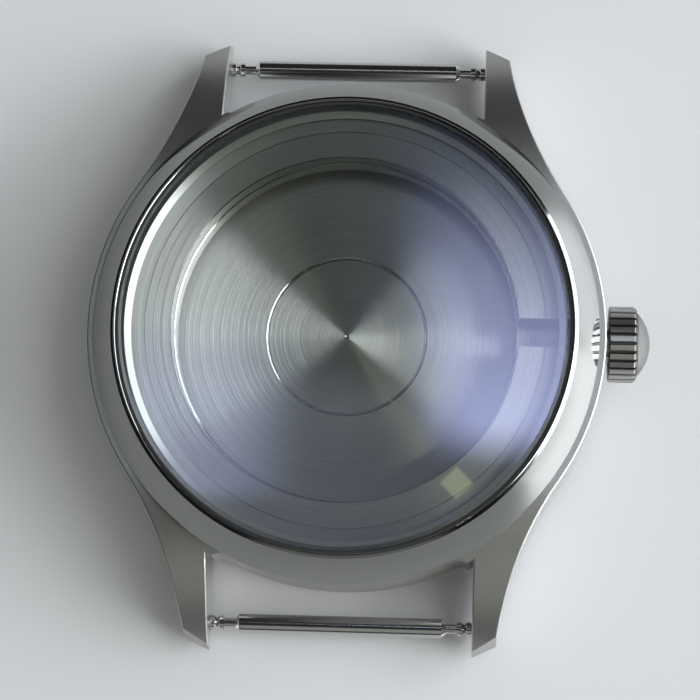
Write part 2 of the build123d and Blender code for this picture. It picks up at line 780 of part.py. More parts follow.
def make_bar_pin(y, side):
    """Sprung pin of a strap bar: piston in the tube, neck, two flanges and the tip in the lug."""
    piston_outer = bar_half - bar_end_wall
    piston_inner = piston_outer - pin_piston_length
    tip_end = lug_inner + pin_tip_length
    points = [
        (piston_inner, 0),
        (piston_inner, piston_radius),
        (piston_outer, piston_radius),
        (piston_outer, pin_neck_radius),
        (pin_inner_flange_start, pin_neck_radius),
        (pin_inner_flange_start, pin_flange_radius),
        (pin_inner_flange_end, pin_flange_radius),
        (pin_inner_flange_end + pin_flange_gap / 2, pin_neck_radius),
        (pin_outer_flange_start, pin_flange_radius),
        (pin_outer_flange_end, pin_flange_radius),
        (pin_outer_flange_end, pin_tip_radius),
        (tip_end - pin_tip_chamfer, pin_tip_radius),
        (tip_end, pin_tip_radius - pin_tip_chamfer),
        (tip_end, 0),
    ]
    return Pos(0, y, bar_height) * turned_on_x([(side * x, r) for x, r in points], 0)


def make_bar_spring(y):
    """Long spring inside a strap bar, between its two pistons."""
    seat = bar_spring_wire / 2 + bar_spring_seat
    half = bar_half - bar_end_wall - pin_piston_length - seat
    radius = bar_tube_bore - seat - bar_spring_seat
    return coil((-half, y, bar_height), (1, 0, 0), 2 * half, radius, bar_spring_turns, bar_spring_wire)


def make_pieces():
    """Every piece of the case, by name."""
    pieces = {
        "mid_case": make_mid_case(),
        "bezel": make_bezel(),
        "crystal": make_crystal(),
        "crystal_gasket": make_crystal_gasket(),
        "rehaut_ring": make_rehaut_ring(),
        "movement_holder": make_movement_holder(),
        "case_back": make_case_back(),
        "case_back_gasket": make_case_back_gasket(),
        "crown_tube": make_crown_tube(),
        "tube_seals": make_tube_seals(),
        "crown_head": make_crown_head(),
        "crown_gasket": make_crown_gasket(),
        "crown_retainer": make_crown_retainer(),
        "crown_post": make_crown_post(),
        "crown_spring": make_crown_spring(),
    }
    for hour, y_side in bar_places:
        y = y_side * bar_from_centre
        pieces[f"bar_{hour}_tube"] = make_bar_tube(y)
        pieces[f"bar_{hour}_spring"] = make_bar_spring(y)
        for side_name, side in pin_sides:
            pieces[f"bar_{hour}_{side_name}_pin"] = make_bar_pin(y, side)
    return pieces


os.makedirs("parts", exist_ok=True)
for name, piece in make_pieces().items():
    export_step(piece, f"parts/{name}.step")
    box = piece.bounding_box()
    print(f"{name}: {box.size.X:.2f} x {box.size.Y:.2f} x {box.size.Z:.2f} mm")
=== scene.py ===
import json
import math

import bmesh
import bpy
from mathutils import Matrix, Vector


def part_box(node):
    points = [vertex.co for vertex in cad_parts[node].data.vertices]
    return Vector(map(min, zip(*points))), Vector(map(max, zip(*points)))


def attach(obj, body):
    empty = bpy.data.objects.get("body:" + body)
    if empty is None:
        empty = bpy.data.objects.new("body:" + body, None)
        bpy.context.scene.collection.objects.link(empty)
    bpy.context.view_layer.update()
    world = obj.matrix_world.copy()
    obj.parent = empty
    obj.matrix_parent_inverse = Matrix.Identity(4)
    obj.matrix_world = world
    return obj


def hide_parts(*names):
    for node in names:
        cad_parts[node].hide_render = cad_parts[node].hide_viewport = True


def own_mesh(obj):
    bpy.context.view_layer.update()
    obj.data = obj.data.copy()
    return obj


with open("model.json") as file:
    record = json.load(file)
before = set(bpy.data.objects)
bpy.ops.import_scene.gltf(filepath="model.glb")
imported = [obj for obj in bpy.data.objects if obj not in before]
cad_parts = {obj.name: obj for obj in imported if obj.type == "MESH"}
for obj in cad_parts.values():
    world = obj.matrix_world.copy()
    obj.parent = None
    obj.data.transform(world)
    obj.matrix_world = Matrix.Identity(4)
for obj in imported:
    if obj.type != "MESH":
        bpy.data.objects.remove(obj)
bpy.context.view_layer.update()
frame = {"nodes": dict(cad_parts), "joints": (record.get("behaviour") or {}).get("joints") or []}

bl_info = {
    "name": "Empty watch case",
    "version": (1, 0, 0),
    "blender": (4, 5, 0),
    "location": "3D View > Sidebar > Watch case",
    "description": "Gives an empty steel watch case its finishes, springs, seals, floor and light",
    "category": "Object",
}

MM = 0.001
NODES = frame["nodes"]
JOINTS = {joint["name"]: joint for joint in frame["joints"]}

# Radii inside the case that the boxes of the nodes don't give
INSIDE_RADIUS = 17.2 * MM
HOLDER_LOWER_BORE = 12.85 * MM
BACK_RING_RADIUS = 6.0 * MM

# Roughness of each turned finish, and how far the slopes of its fine rings lean
TURNED_FINISH = (0.40, 0.32)
BACK_FINISH = (0.38, 0.34)
REHAUT_FINISH = (0.45, 0.30)

# Lines, bevels and lips on the turned and polished pieces
INSIDE_FADE = 0.05 * MM
RING_LINE_HALF = 0.13 * MM
EDGE_BEVEL = 0.10 * MM
EDGE_BEVEL_FADE = 0.02 * MM
BEZEL_LIP = 0.16 * MM

# Rise of the normal at which a soft step to a level face starts and ends, and the two sides of a bevel
LEVEL_RISE = (0.90, 0.97)
BEVEL_FROM_RISE = (0.55, 0.62)
BEVEL_TO_RISE = (0.90, 0.82)

# Crown: height of its axis, where the ridges give way to the dome along X, and the radii between which
# a ridge gives way to a groove; the grooves are darkened there as painted shade
CROWN_AXIS_HEIGHT = JOINTS["crown_turn"]["pos_m"][2]
CROWN_DOME_EDGE = (21.86 * MM, 21.94 * MM)
CROWN_GROOVE_SHADE_RADII = (2.86 * MM, 2.74 * MM)

# Rounded corners of the soft rings, and the foot that reaches under the crystal
NYLON_CORNER = 0.05 * MM
WASHER_CORNER = 0.07 * MM
SEAL_CORNER = 0.13 * MM
CRYSTAL_FOOT_WIDTH = 0.6 * MM

# Sockets of a Mix node that hold and give a colour
FIRST_COLOUR, SECOND_COLOUR, MIXED_COLOUR = 6, 7, 2

# Stage: what the lamps aim at, what the camera aims at, and the gap between the back and the floor
CASE_MIDDLE = Vector((0.0, 0.0, 5.0 * MM))
CAMERA_AIM = Vector((0.21 * MM, -0.89 * MM, 5.0 * MM))
FLOOR_GAP = 0.02 * MM

# Each lamp: name, azimuth and elevation in degrees, distance and size in metres, share of the window's
# power, and colour
LAMPS = (
    ("window", -14.0, 28.0, 1.1, (0.75, 0.46), 1.0, (0.95, 0.97, 1.0)),
    ("upper_window", -7.0, 60.0, 1.0, (0.48, 0.32), 0.14, (0.93, 0.97, 1.0)),
    ("curtain", 24.0, 27.0, 1.1, (0.58, 0.4), 0.5, (0.90, 0.95, 1.0)),
    ("upper_curtain", 38.0, 58.0, 1.0, (0.36, 0.30), 0.05, (0.93, 0.97, 1.0)),
    ("warm_pane", -50.0, 70.0, 0.9, (0.035, 0.05), 0.009, (1.0, 1.0, 0.70)),
)


# Node trees

class Wire:
    """One socket of a node tree, as a number or a vector that can stand in an expression."""

    def __init__(self, tree, socket):
        self.tree = tree
        self.socket = socket

    def maths(self, operation, *values):
        return self.tree.add("ShaderNodeMath", {"operation": operation}, values)

    def __add__(self, other):
        return self.maths("ADD", self, other)

    def __radd__(self, other):
        return self.maths("ADD", other, self)

    def __sub__(self, other):
        return self.maths("SUBTRACT", self, other)

    def __rsub__(self, other):
        return self.maths("SUBTRACT", other, self)

    def __mul__(self, other):
        return self.maths("MULTIPLY", self, other)

    def __rmul__(self, other):
        return self.maths("MULTIPLY", other, self)

    def __truediv__(self, other):
        return self.maths("DIVIDE", self, other)

    def __rtruediv__(self, other):
        return self.maths("DIVIDE", other, self)

    def __abs__(self):
        return self.maths("ABSOLUTE", self)

    def sine(self):
        return self.maths("SINE", self)

    def root(self):
        return self.maths("SQRT", self)

    def at_least(self, lowest):
        return self.maths("MAXIMUM", self, lowest)

    def clamped(self):
        return self.tree.add("ShaderNodeClamp", {}, {"Value": self})


class Tree:
    """Builds the nodes of one material or of the world."""

    def __init__(self, holder):
        holder.use_nodes = True
        self.nodes = holder.node_tree.nodes
        self.links = holder.node_tree.links
        self.nodes.clear()

    def add(self, kind, settings, values, output=0):
        """Adds a node: its settings first, then what its sockets hold or are linked to."""
        node = self.nodes.new(kind)
        for name, setting in settings.items():
            setattr(node, name, setting)
        pairs = values.items() if isinstance(values, dict) else enumerate(values)
        for key, value in pairs:
            socket = node.inputs[key]
            if isinstance(value, Wire):
                self.links.new(value.socket, socket)
            else:
                socket.default_value = value
        return Wire(self, node.outputs[output]) if node.outputs else None

    def parts(self, vector):
        """X, Y and Z of a vector."""
        node = self.add("ShaderNodeSeparateXYZ", {}, [vector]).socket.node
        return [Wire(self, socket) for socket in node.outputs]

    def vector(self, x, y, z):
        return self.add("ShaderNodeCombineXYZ", {}, [x, y, z])

    def vector_maths(self, operation, *vectors, **named):
        values = dict(enumerate(vectors)) | named
        return self.add("ShaderNodeVectorMath", {"operation": operation}, values)

    def place(self):
        """Point on the piece, in metres in the frame of the case."""
        return self.add("ShaderNodeTexCoord", {}, (), "Object")

    def round_place(self):
        """X, Y and Z of the point on the piece, and its distance from the axis of the case."""
        x, y, z = self.parts(self.place())
        return x, y, z, (x * x + y * y).root()

    def noise(self, vector, scale, detail=2.0, roughness=0.5):
        values = {"Vector": vector, "Scale": scale, "Detail": detail, "Roughness": roughness}
        return self.add("ShaderNodeTexNoise", {}, values, "Fac")

    def strokes(self, per_metre, detail=2.0, roughness=0.5):
        """Noise with a number of spots per metre along each axis, so that it draws out into strokes."""
        place = self.vector_maths("MULTIPLY", self.place(), per_metre)
        return self.noise(place, 1.0, detail, roughness)

    def ring_noise(self, across, along_share):
        """Noise that follows circles round the axis: lines per metre across, and a share of that along."""
        x, y, z, radius = self.round_place()
        return self.noise(self.vector(radius * across, z * across, (x + y) * across * along_share), 1.0)

    def ring_frame(self):
        """Distance from the axis of the case, the normal, and the outward direction across the rings."""
        x, y, _, radius = self.round_place()
        normal = self.add("ShaderNodeNewGeometry", {}, (), "Normal")
        along = self.vector_maths("NORMALIZE", self.vector(y * -1.0, x, 0.0))
        return radius, normal, self.vector_maths("CROSS_PRODUCT", along, normal)

    def leaned(self, normal, across, slope):
        """Normal that leans by a slope across the rings."""
        lean = self.vector_maths("SCALE", across, Scale=slope)
        return self.vector_maths("NORMALIZE", self.vector_maths("ADD", normal, lean))

    def step(self, value, low, high, low_result=0.0, high_result=1.0):
        """Soft step from one result to another between two values."""
        values = [value, low, high, low_result, high_result]
        return self.add("ShaderNodeMapRange", {"interpolation_type": "SMOOTHSTEP"}, values)

    def within(self, *edges):
        """Share from 0 to 1 inside soft edges, each given as a value and where its step starts and ends."""
        share = self.step(*edges[0])
        for edge in edges[1:]:
            share = share * self.step(*edge)
        return share

    def mixed(self, share, first, second):
        """Blend of two colours."""
        values = {"Factor": share, FIRST_COLOUR: first, SECOND_COLOUR: second}
        return self.add("ShaderNodeMix", {"data_type": "RGBA"}, values, MIXED_COLOUR)

    def bump(self, height, distance, strength):
        values = {"Height": height, "Distance": distance, "Strength": strength}
        return self.add("ShaderNodeBump", {}, values)

    def ray(self, kind):
        """Whether the ray that looks is of a kind, such as Is Camera Ray."""
        return self.add("ShaderNodeLightPath", {}, (), kind)

    def surface(self, **values):
        """Principled surface; an underscore in a socket's name stands for a space."""
        named = {name.replace("_", " "): value for name, value in values.items()}
        return self.add("ShaderNodeBsdfPrincipled", {}, named)

    def background(self, colour, strength):
        return self.add("ShaderNodeBackground", {}, {"Color": rgb(colour), "Strength": strength})

    def mixed_shaders(self, share, first, second):
        return self.add("ShaderNodeMixShader", {}, [share, first, second])

    def added_shaders(self, first, second):
        return self.add("ShaderNodeAddShader", {}, [first, second])

    def finish(self, shader, output="ShaderNodeOutputMaterial"):
        self.add(output, {}, {"Surface": shader})


def rgb(colour, level=1.0):
    """Colour at a level of its own brightness, with the alpha that a colour socket holds."""
    return (*[channel * level for channel in colour], 1.0)


def dress(material, *names):
    """Gives CAD nodes a better material."""
    for name in names:
        for slot in NODES[name].material_slots:
            slot.material = material


def new_tree(name):
    material = bpy.data.materials.new(name)
    return material, Tree(material)


# Shapes

def rounded(outline, radius, steps=4):
    """Outline with its corners rounded off."""
    points = []
    corners = [Vector(corner) for corner in outline]
    for index, corner in enumerate(corners):
        before, after = corners[index - 1], corners[(index + 1) % len(corners)]
        start = corner + (before - corner).normalized() * radius
        end = corner + (after - corner).normalized() * radius
        for step in range(steps + 1):
            share = step / steps
            points.append(start.lerp(corner, share).lerp(corner.lerp(end, share), share))
    return points


def turned_mesh(outlines, axis, height, segments):
    """Rings turned round the vertical axis of the case, or round a level axis along X at a height.

    Each outline is a closed row of places along the axis and radii from it.
    """
    points, faces = [], []
    for outline in outlines:
        first, count = len(points), len(outline)
        for turn in range(segments):
            angle = 2.0 * math.pi * turn / segments
            for along, radius in outline:
                one, two = radius * math.cos(angle), radius * math.sin(angle)
                points.append((one, two, along) if axis == "Z" else (along, one, height + two))
            here, there = first + turn * count, first + (turn + 1) % segments * count
            for step in range(count):
                after = (step + 1) % count
                faces.append((here + step, there + step, there + after, here + after))
    return points, faces


def coil_mesh(start, end, place, radius, wire, turns, share_from=0.0, share_to=1.0, steps=28, sides=12):
    """Round wire wound along X from start to end, or a share of it, with a closed turn at each end."""
    y, z = place
    open_turns = turns - 2.0
    nearby = 0.01
    pitch = (end - start - 2.0 * wire) / open_turns
    points, faces = [], []

    def centre(turn):
        first_turn = min(turn, 1.0) * wire
        middle_turns = min(max(turn - 1.0, 0.0), open_turns) * pitch
        last_turn = max(turn - turns + 1.0, 0.0) * wire
        angle = 2.0 * math.pi * turn
        return Vector((start + (first_turn + middle_turns + last_turn),
                       y + radius * math.cos(angle), z + radius * math.sin(angle)))

    count = round(turns * steps * (share_to - share_from))
    for step in range(count + 1):
        turn = turns * (share_from + (share_to - share_from) * step / count)
        middle = centre(turn)
        ahead = (centre(turn + nearby) - centre(turn - nearby)).normalized()
        outward = Vector((0.0, middle.y - y, middle.z - z)).normalized()
        sideways = ahead.cross(outward)
        for side in range(sides):
            angle = 2.0 * math.pi * side / sides
            points.append(middle + (outward * math.cos(angle) + sideways * math.sin(angle)) * wire / 2.0)
        if step:
            low = (step - 1) * sides
            for side in range(sides):
                after = (side + 1) % sides
                faces.append((low + side, low + after, low + sides + after, low + sides + side))
    faces.append(tuple(range(sides)))
    faces.append(tuple(count * sides + side for side in range(sides)))
    return points, faces


def add_piece(name, shape, material, body, node):
    """Adds a smooth piece that rides on a body and stands for a CAD node."""
    points, faces = shape
    work = bmesh.new()
    corners = [work.verts.new(point) for point in points]
    for face in faces:
        work.faces.new([corners[index] for index in face])
    bmesh.ops.recalc_face_normals(work, faces=work.faces)
    mesh = bpy.data.meshes.new(name)
    work.to_mesh(mesh)
    work.free()
    mesh.shade_smooth()
    mesh.set_sharp_from_angle(angle=math.radians(50.0))
    mesh.materials.append(material)
    piece = bpy.data.objects.new(name, mesh)
    bpy.context.scene.collection.objects.link(piece)
    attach(piece, body)
    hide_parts(node)
    return piece


# Sizes and colours that a user would change

def colour_property(name, description, default):
    return bpy.props.FloatVectorProperty(
        name=name, description=description, default=default, subtype="COLOR", min=0.0, max=1.0)


def length_property(name, description, default, lowest=0.0, highest=10.0):
    return bpy.props.FloatProperty(
        name=name, description=description, default=default, min=lowest, max=highest,
        unit="LENGTH", subtype="DISTANCE", precision=5)


def angle_property(name, description, degrees):
    return bpy.props.FloatProperty(
        name=name, description=description, default=math.radians(degrees),
        unit="ROTATION", subtype="ANGLE")


class FinishSettings(bpy.types.PropertyGroup):
    """Colours and finishes of the steel, the crystal and the seals."""

    satin_colour: colour_property(
        "Satin steel", "Colour of the brushed middle and lugs", (0.60, 0.60, 0.58))
    polished_colour: colour_property(
        "Polished steel", "Colour of the polished bezel", (0.31, 0.315, 0.305))
    turned_colour: colour_property(
        "Turned steel", "Colour of the turned inside", (0.48, 0.49, 0.465))
    bar_colour: colour_property(
        "Strap bars", "Colour of the steel of the strap bars", (0.68, 0.68, 0.67))
    seal_colour: colour_property(
        "Seals", "Colour of the black rubber and nylon", (0.012, 0.012, 0.013))
    veil_colour: colour_property(
        "Crystal coating", "Tint of what the crystal reflects", (0.70, 0.72, 1.0))
    satin_roughness: bpy.props.FloatProperty(
        name="Satin roughness", description="Roughness of the brushed steel", default=0.34,
        min=0.0, max=1.0, subtype="FACTOR")
    turning_pitch: length_property(
        "Turning pitch", "Distance between the turned lines of the inside",
        0.025 * MM, lowest=0.01 * MM, highest=1.0 * MM)


class SealSettings(bpy.types.PropertyGroup):
    """Sizes of the seals and the springs."""

    crystal_gasket_wall: length_property(
        "Crystal gasket wall", "Thickness of the ring between the crystal and the bezel", 0.25 * MM)
    crystal_gasket_foot: length_property(
        "Crystal gasket foot", "Height of the foot under the crystal", 0.2 * MM)
    back_gasket_width: length_property(
        "Back gasket width", "Width of the ring in the back's groove", 0.5 * MM)
    crown_gasket_width: length_property(
        "Crown gasket width", "Width of the washer in the crown", 0.5 * MM)
    tube_seal_width: length_property(
        "Tube seal width", "Length of each ring in the crown tube", 0.5 * MM)
    tube_seal_bore: length_property(
        "Tube seal bore", "Radius of the hole of each ring in the crown tube", 0.74 * MM)
    crown_spring_wire: length_property(
        "Crown spring wire", "Diameter of the wire of the crown's spring", 0.13 * MM)
    bar_spring_wire: length_property(
        "Bar spring wire", "Diameter of the wire of the springs in the bars", 0.16 * MM)
    crown_spring_turns: bpy.props.FloatProperty(
        name="Crown spring turns", description="Turns of the crown's spring", default=3.0, min=2.5)
    bar_spring_turns: bpy.props.FloatProperty(
        name="Bar spring turns", description="Turns of the spring in each bar", default=20.0, min=3.0)


class StageSettings(bpy.types.PropertyGroup):
    """Floor, light and camera."""

    floor_colour: colour_property("Floor", "Colour of the floor", (0.565, 0.56, 0.575))
    floor_size: length_property("Floor size", "Side of the floor", 3.0)
    window_power: bpy.props.FloatProperty(
        name="Window", description="Power of the large soft window", default=12.0,
        unit="POWER", precision=3)
    camera_distance: length_property(
        "Camera distance", "From the camera to the middle of the case", 218.36 * MM)
    camera_tilt: angle_property("Camera tilt", "Lean of the camera towards 6 o'clock", 9.456)
    camera_side: angle_property("Camera side lean", "Lean of the camera towards 3 o'clock", 3.062)
    camera_roll: angle_property("Camera roll", "Turn of the camera round its own line of sight", 1.835)
    camera_lens: bpy.props.FloatProperty(
        name="Camera lens", description="Focal length in millimetres", default=147.17, min=10.0,
        unit="CAMERA")


def finishes():
    return bpy.context.scene.watch_case_finishes


def seal_settings():
    return bpy.context.scene.watch_case_seals


def stage_settings():
    return bpy.context.scene.watch_case_stage


# Finishes

def turned_shader(tree, colour, finish, line_radius=0.0, edge_radius=0.0):
    """Lathe-turned steel: fine rings round the axis of the case, whose slopes spread the light across them.

    Bevels are smoother than the rest. A level face ends in a narrow bevel at an edge radius. A line cut at
    a radius is a shallow vee, so one side of it catches the light and the other doesn't.
    """
    roughness, spread = finish
    radius, normal, across = tree.ring_frame()
    rise = tree.parts(normal)[2]
    fine = tree.ring_noise(1.0 / finishes().turning_pitch, 0.0004)
    broad = tree.ring_noise(1400.0, 0.004)
    bevel = tree.within((rise, *BEVEL_FROM_RISE), (rise, *BEVEL_TO_RISE))
    slope = (fine * 14.0).sine() * spread * (1.0 - bevel)
    rough = roughness + (broad - 0.5) * 0.08 - bevel * 0.25
    if edge_radius:
        strip_end = edge_radius + EDGE_BEVEL
        strip = tree.within((radius, strip_end, strip_end - EDGE_BEVEL_FADE), (rise, *LEVEL_RISE))
        slope = slope * (1.0 - strip) - strip * 0.8
        rough = rough - strip * 0.25
    if line_radius:
        offset = (radius - line_radius) / RING_LINE_HALF
        line = tree.step(abs(offset), 1.0, 0.85)
        slope = slope * (1.0 - line) + tree.step(offset, -0.3, 0.3, 0.6, -0.6) * line
        rough = rough - line * 0.2
    shade = tree.mixed((fine * 0.3 + broad * 0.7).clamped(), rgb(colour, 0.82), rgb(colour))
    return tree.surface(Base_Color=shade, Metallic=1.0, Roughness=rough, Anisotropic=1.0,
                        Anisotropic_Rotation=0.25, Normal=tree.leaned(normal, across, slope))


def turned_steel(name, colour, finish, **edges):
    material, tree = new_tree(name)
    tree.finish(turned_shader(tree, colour, finish, **edges))
    return material


def satin_and_turned_steel(name, colour, roughness, turned_colour):
    """Fine brushed steel with small uneven patches outside, lathe-turned steel inside the case."""
    material, tree = new_tree(name)
    strokes = tree.strokes((16000.0, 700.0, 9000.0), 3.0, 0.6)
    patches = tree.noise(tree.place(), 160.0)
    shade = tree.mixed((strokes * 0.6 + patches * 0.4).clamped(), rgb(colour, 0.86), rgb(colour))
    rough = roughness + (strokes - 0.5) * 0.16 + (patches - 0.5) * 0.10
    brushed = tree.surface(Base_Color=shade, Metallic=1.0, Roughness=rough,
                           Normal=tree.bump(strokes, 0.004 * MM, 0.6))
    radius = tree.round_place()[3]
    inside = tree.step(radius, INSIDE_RADIUS + INSIDE_FADE, INSIDE_RADIUS)
    tree.finish(tree.mixed_shaders(inside, brushed, turned_shader(tree, turned_colour, TURNED_FINISH)))
    return material


def crown_steel(name, colour):
    """Crown: fine brushed ridges, grooves darkened between them as painted shade, and a darker frosted
    dome.
    """
    material, tree = new_tree(name)
    x, y, z = tree.parts(tree.place())
    height = z - CROWN_AXIS_HEIGHT
    dome = tree.step(x, *CROWN_DOME_EDGE)
    painted_groove_shade = tree.step((y * y + height * height).root(), *CROWN_GROOVE_SHADE_RADII) * (1.0 - dome)
    strokes = tree.strokes((2500.0, 26000.0, 26000.0))
    ridge = tree.mixed(strokes, rgb(colour, 0.75), rgb(colour))
    # Painted shade: the grooves take 0.22 of the steel's colour; the dome takes 0.42 of it.
    shade = tree.mixed(painted_groove_shade, tree.mixed(dome, ridge, rgb(colour, 0.42)), rgb(colour, 0.22))
    rough = 0.32 + dome * 0.16 + (strokes - 0.5) * 0.16
    tree.finish(tree.surface(Base_Color=shade, Metallic=1.0, Roughness=rough,
                             Normal=tree.bump(strokes, 0.003 * MM, 0.5)))
    return material


def polished_steel(name, colour, roughness, bore=0.0):
    """Mirror finish with faint wipe marks; a level lip round a bore is rounded over."""
    material, tree = new_tree(name)
    haze = tree.noise(tree.place(), 240.0, 3.0)
    hair = tree.step(tree.strokes((9000.0, 1500.0, 3000.0)), 0.62, 0.75)
    shade = tree.mixed(haze, rgb(colour, 0.96), rgb(colour))
    values = {"Base_Color": shade, "Metallic": 1.0, "Roughness": roughness + haze * 0.04 + hair * 0.04}
    if bore:
        radius, normal, across = tree.ring_frame()
        level = tree.step(tree.parts(normal)[2], *LEVEL_RISE)
        slope = tree.step(radius, bore, bore + BEZEL_LIP, -0.9, 0.9) * level
        values["Normal"] = tree.leaned(normal, across, slope)
    tree.finish(tree.surface(**values))
    return material


def seal_rubber(name, colour, roughness):
    """Black rubber with a faint grain."""
    material, tree = new_tree(name)
    grain = tree.noise(tree.place(), 9000.0, 3.0)
    shade = tree.mixed(grain, rgb(colour), rgb(colour, 1.8))
    tree.finish(tree.surface(Base_Color=shade, Roughness=roughness + (grain - 0.5) * 0.2,
                             Normal=tree.bump(grain, 0.004 * MM, 0.5)))
    return material


def coated_crystal(name, veil):
    """Clear flat crystal whose coating tints what it reflects and dims it at a slant.

    Lamps shine through it.
    """
    material, tree = new_tree(name)
    smears = tree.noise(tree.place(), 120.0, 3.0)
    clear = tree.mixed(smears, (0.97, 0.985, 0.98, 1.0), (1.0, 1.0, 1.0, 1.0))
    glass = tree.surface(Base_Color=clear, Roughness=0.0, IOR=1.77, Transmission_Weight=1.0,
                         Specular_Tint=rgb(veil))
    open_way = tree.add("ShaderNodeBsdfTransparent", {}, {"Color": (0.96, 0.97, 0.97, 1.0)})
    slant = tree.add("ShaderNodeLayerWeight", {}, {"Blend": 0.5}, "Facing")
    shader = tree.mixed_shaders(tree.step(slant, 0.2, 0.5, 0.0, 0.98), glass, open_way)
    for kind in ("Is Diffuse Ray", "Is Glossy Ray", "Is Shadow Ray"):
        shader = tree.mixed_shaders(tree.ray(kind), shader, open_way)
    tree.finish(shader)
    return material


# Pieces

class WATCHCASE_OT_middle(bpy.types.Operator):
    """Brushed finish of the middle and its lugs, turned finish of its inside"""

    bl_idname = "watchcase.middle"
    bl_label = "Middle and lugs"

    def execute(self, context):
        settings = finishes()
        steel = satin_and_turned_steel(
            "case_steel", settings.satin_colour, settings.satin_roughness, settings.turned_colour)
        dress(steel, "mid_case")
        return {"FINISHED"}


class WATCHCASE_OT_bezel(bpy.types.Operator):
    """Mirror finish of the bezel"""

    bl_idname = "watchcase.bezel"
    bl_label = "Bezel"

    def execute(self, context):
        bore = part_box("crystal_gasket")[1][0]
        dress(polished_steel("polished_bezel_steel", finishes().polished_colour, 0.05, bore), "bezel")
        return {"FINISHED"}


class WATCHCASE_OT_crystal(bpy.types.Operator):
    """Clear crystal and its black ring"""

    bl_idname = "watchcase.crystal"
    bl_label = "Crystal and gasket"

    def execute(self, context):
        dress(coated_crystal("coated_crystal", finishes().veil_colour), "crystal")
        seals = seal_settings()
        low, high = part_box("crystal_gasket")
        outer = high[0]
        bore = outer - seals.crystal_gasket_wall
        foot_bore = outer - CRYSTAL_FOOT_WIDTH
        foot_top = low[2] + seals.crystal_gasket_foot
        outline = [(foot_top, bore), (high[2], bore), (high[2], outer), (low[2], outer),
                   (low[2], foot_bore), (foot_top, foot_bore)]
        add_piece("crystal_ring", turned_mesh([rounded(outline, NYLON_CORNER)], "Z", 0.0, segments=256),
                  seal_rubber("black_nylon", finishes().seal_colour, 0.35), "case", "crystal_gasket")
        return {"FINISHED"}


class WATCHCASE_OT_inside(bpy.types.Operator):
    """Turned finish of the rehaut ring and the movement holder"""

    bl_idname = "watchcase.inside"
    bl_label = "Rehaut ring and movement holder"

    def execute(self, context):
        colour = finishes().turned_colour
        # Painted light: the rehaut ring takes the turned steel's colour 1.7 times brighter, a lit copy of
        # the holder's steel.
        painted_light_colour = [channel * 1.7 for channel in colour]
        dress(turned_steel("turned_rehaut_steel", painted_light_colour, REHAUT_FINISH), "rehaut_ring")
        holder = turned_steel("turned_holder_steel", colour, TURNED_FINISH, edge_radius=HOLDER_LOWER_BORE)
        dress(holder, "movement_holder")
        return {"FINISHED"}


class WATCHCASE_OT_back(bpy.types.Operator):
    """Turned finish of the case back, and its seal"""

    bl_idname = "watchcase.back"
    bl_label = "Case back and gasket"

    def execute(self, context):
        settings = finishes()
        back = turned_steel("turned_back_steel", settings.turned_colour, BACK_FINISH,
                            line_radius=BACK_RING_RADIUS)
        dress(back, "case_back")
        low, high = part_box("case_back_gasket")
        bore = high[0] - seal_settings().back_gasket_width
        outline = [(low[2], bore), (low[2], high[0]), (high[2], high[0]), (high[2], bore)]
        add_piece("back_seal_ring", turned_mesh([rounded(outline, SEAL_CORNER)], "Z", 0.0, segments=192),
                  seal_rubber("back_rubber", settings.seal_colour, 0.5), "back_seal", "case_back_gasket")
        return {"FINISHED"}


class WATCHCASE_OT_crown(bpy.types.Operator):
    """Finish of the crown, its tube, post and retainer, with its seals and its spring"""

    bl_idname = "watchcase.crown"
    bl_label = "Crown"

    def execute(self, context):
        settings = finishes()
        dress(crown_steel("crown_steel", settings.satin_colour), "crown_head")
        tube_steel = polished_steel("tube_steel", settings.satin_colour, 0.22)
        dress(tube_steel, "crown_tube", "crown_retainer", "crown_post")
        self.add_seals(settings)
        self.add_spring(settings)
        return {"FINISHED"}

    @staticmethod
    def add_seals(settings):
        """Washer in the crown and two round rings in the tube."""
        seals = seal_settings()
        rubber = seal_rubber("crown_rubber", settings.seal_colour, 0.5)
        low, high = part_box("crown_gasket")
        axis_height = (low[2] + high[2]) / 2.0
        bore = high[1] - seals.crown_gasket_width
        washer = [(low[0], bore), (low[0], high[1]), (high[0], high[1]), (high[0], bore)]
        shape = turned_mesh([rounded(washer, WASHER_CORNER)], "X", axis_height, segments=72)
        add_piece("crown_washer", shape, rubber, "crown_seal", "crown_gasket")
        low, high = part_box("tube_seals")
        bore, outer, width = seals.tube_seal_bore, high[1], seals.tube_seal_width
        rings = []
        for start in (low[0], high[0] - width):
            end = start + width
            rings.append(rounded([(start, bore), (start, outer), (end, outer), (end, bore)], SEAL_CORNER))
        shape = turned_mesh(rings, "X", axis_height, segments=64)
        add_piece("tube_rings", shape, rubber, "case", "tube_seals")

    @staticmethod
    def add_spring(settings):
        """Short spring between the post's head and the crown's roof, pressed as the post goes in."""
        seals = seal_settings()
        low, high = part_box("crown_spring")
        wire = seals.crown_spring_wire
        axis_height = (low[2] + high[2]) / 2.0
        shape = coil_mesh(low[0] + wire / 2.0, high[0] - wire / 2.0, (0.0, axis_height),
                          high[1] - wire / 2.0, wire, seals.crown_spring_turns)
        spring = add_piece("crown_coil", shape, polished_steel("crown_wire", settings.bar_colour, 0.2),
                           "crown", "crown_spring")
        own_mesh(spring)


